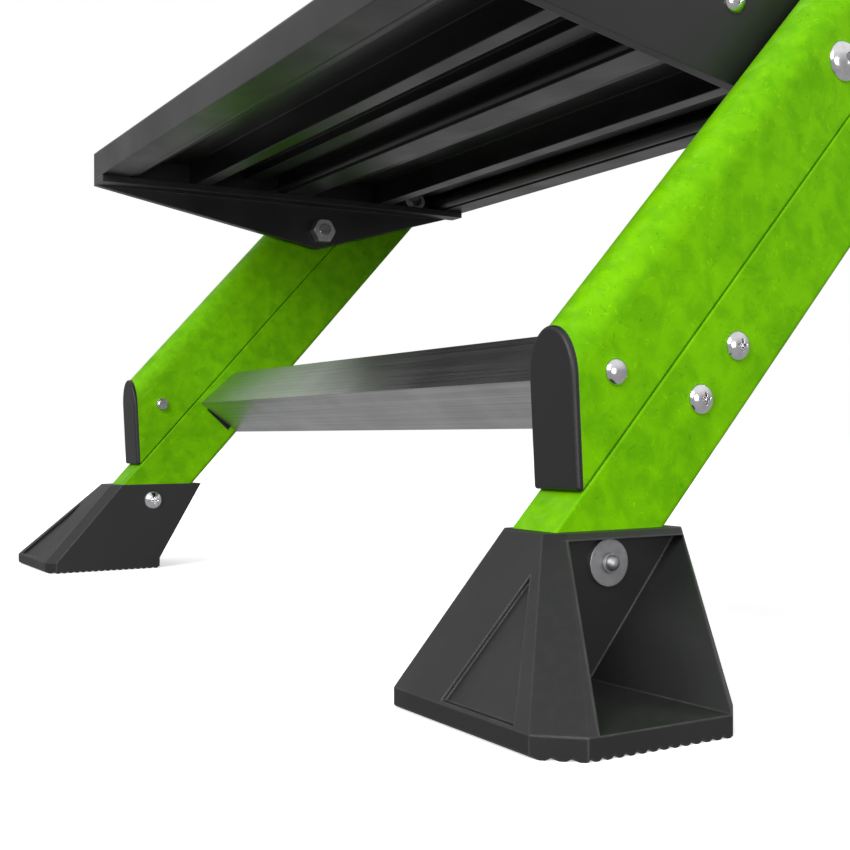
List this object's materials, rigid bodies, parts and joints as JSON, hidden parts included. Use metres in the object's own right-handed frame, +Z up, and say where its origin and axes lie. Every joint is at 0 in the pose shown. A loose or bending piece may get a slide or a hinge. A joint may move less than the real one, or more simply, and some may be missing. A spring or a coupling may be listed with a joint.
{
  "type": "orchard tripod ladder",
  "caption": "Folding tripod ladder with double fibreglass rails, deep flat treads that fold with the front rails, flared feet and one telescoping rear leg.",
  "frame": {"origin": "on the ground, under the middle of the ladder's overall box", "axes": "+Z up, -Y towards the climbing side, +X to the climber's right"},
  "size_m": [0.7026, 1.639, 1.2565],
  "materials": {
    "green_fibreglass": "pultruded resin, semi-gloss, mottled veil",
    "black_plastic": "moulded, satin",
    "black_rubber": "matt, ribbed",
    "black_coated_aluminium": "powder coat, semi-gloss",
    "mill_aluminium": "mill finish, fine drawn lines",
    "bright_zinc": "polished zinc plate",
    "plain_steel": "dull zinc plate",
    "white_nylon": "plain"
  },
  "bodies": {
    "frame": {"rear_tube_right": "green_fibreglass", "rear_tube_left": "green_fibreglass", "foot_right": "black_plastic", "foot_left": "black_plastic", "rear_tube_top_caps": "black_plastic", "foot_bolts": "bright_zinc", "foot_washers": "plain_steel", "foot_nuts": "plain_steel", "ground_rung": "mill_aluminium", "rung_inserts": "black_plastic", "rung_screws": "bright_zinc", "rear_pivot_bolts": "bright_zinc", "rear_pivot_nuts": "plain_steel", "rear_pivot_spacers": "white_nylon", "hinge_bar": "black_coated_aluminium", "hinge_ears": "black_coated_aluminium", "hinge_bar_bolts": "bright_zinc", "pole_pin": "bright_zinc"},
    "tread_1": {"tread_1_deck": "black_coated_aluminium", "tread_1_plate_right": "black_coated_aluminium", "tread_1_plate_left": "black_coated_aluminium", "tread_1_screws": "bright_zinc"},
    "tread_2": {"tread_2_deck": "black_coated_aluminium", "tread_2_plate_right": "black_coated_aluminium", "tread_2_plate_left": "black_coated_aluminium", "tread_2_screws": "bright_zinc"},
    "tread_3": {"tread_3_deck": "black_coated_aluminium", "tread_3_plate_right": "black_coated_aluminium", "tread_3_plate_left": "black_coated_aluminium", "tread_3_screws": "bright_zinc"},
    "tread_4": {"tread_4_deck": "black_coated_aluminium", "tread_4_plate_right": "black_coated_aluminium", "tread_4_plate_left": "black_coated_aluminium", "tread_4_screws": "bright_zinc"},
    "front_rails": {"front_tube_right": "green_fibreglass", "front_tube_left": "green_fibreglass", "front_tube_end_cap_right": "black_plastic", "front_tube_end_cap_left": "black_plastic", "front_tube_top_caps": "black_plastic", "cap_rivets": "bright_zinc", "cap_rivet_collars": "bright_zinc", "front_pivot_bolts": "bright_zinc", "front_pivot_nuts": "plain_steel", "front_pivot_spacers": "white_nylon"},
    "rear_leg": {"pole_tube": "green_fibreglass", "pole_head": "black_plastic", "pole_head_rivet": "bright_zinc", "lock_collar": "black_plastic", "lock_lever_pin": "bright_zinc"},
    "lock_lever": {"lock_lever": "black_plastic"},
    "leg_extension": {"pole_inner_tube": "mill_aluminium", "pole_ankle": "black_plastic"},
    "leg_foot": {"pole_foot_shoe": "black_plastic", "pole_foot_sole": "black_rubber", "pole_foot_pin": "bright_zinc"}
  },
  "joints": [
    {"name": "tread_1_fold", "type": "hinge", "parent": "frame", "child": "tread_1", "pos_m": [0, -0.52338, 0.2915], "axis": [-1, 0, 0], "range_deg": [0, 120]},
    {"name": "tread_2_fold", "type": "hinge", "parent": "frame", "child": "tread_2", "pos_m": [0, -0.24182, 0.5963], "axis": [-1, 0, 0], "range_deg": [0, 120]},
    {"name": "tread_3_fold", "type": "hinge", "parent": "frame", "child": "tread_3", "pos_m": [0, 0.03973, 0.9011], "axis": [-1, 0, 0], "range_deg": [0, 120]},
    {"name": "tread_4_fold", "type": "hinge", "parent": "frame", "child": "tread_4", "pos_m": [0, 0.32129, 1.2059], "axis": [-1, 0, 0], "range_deg": [0, 120]},
    {"name": "front_rails_pivot", "type": "hinge", "parent": "tread_1", "child": "front_rails", "pos_m": [0, -0.60651, 0.2606], "axis": [-1, 0, 0], "range_deg": [-120, 0]},
    {"name": "leg_swing", "type": "hinge", "parent": "frame", "child": "rear_leg", "pos_m": [0, 0.31412, 1.06771], "axis": [-1, 0, 0], "range_deg": [0, 66]},
    {"name": "leg_slide", "type": "slide", "parent": "rear_leg", "child": "leg_extension", "axis": [0, 0.4067, -0.9135], "range_m": [0, 0.25]},
    {"name": "leg_foot_tilt", "type": "hinge", "parent": "leg_extension", "child": "leg_foot", "pos_m": [0, 0.77347, 0.036], "axis": [-1, 0, 0], "range_deg": [-25, 25]},
    {"name": "lock_lever_turn", "type": "hinge", "parent": "rear_leg", "child": "lock_lever", "pos_m": [0, 0.66091, 0.37486], "axis": [1, 0, 0], "range_deg": [0, 100]}
  ],
  "couplings": [
    {"joint": "tread_2_fold", "follows": "tread_1_fold", "ratio": 1},
    {"joint": "tread_3_fold", "follows": "tread_1_fold", "ratio": 1},
    {"joint": "tread_4_fold", "follows": "tread_1_fold", "ratio": 1},
    {"joint": "front_rails_pivot", "follows": "tread_1_fold", "ratio": -1}
  ]
}
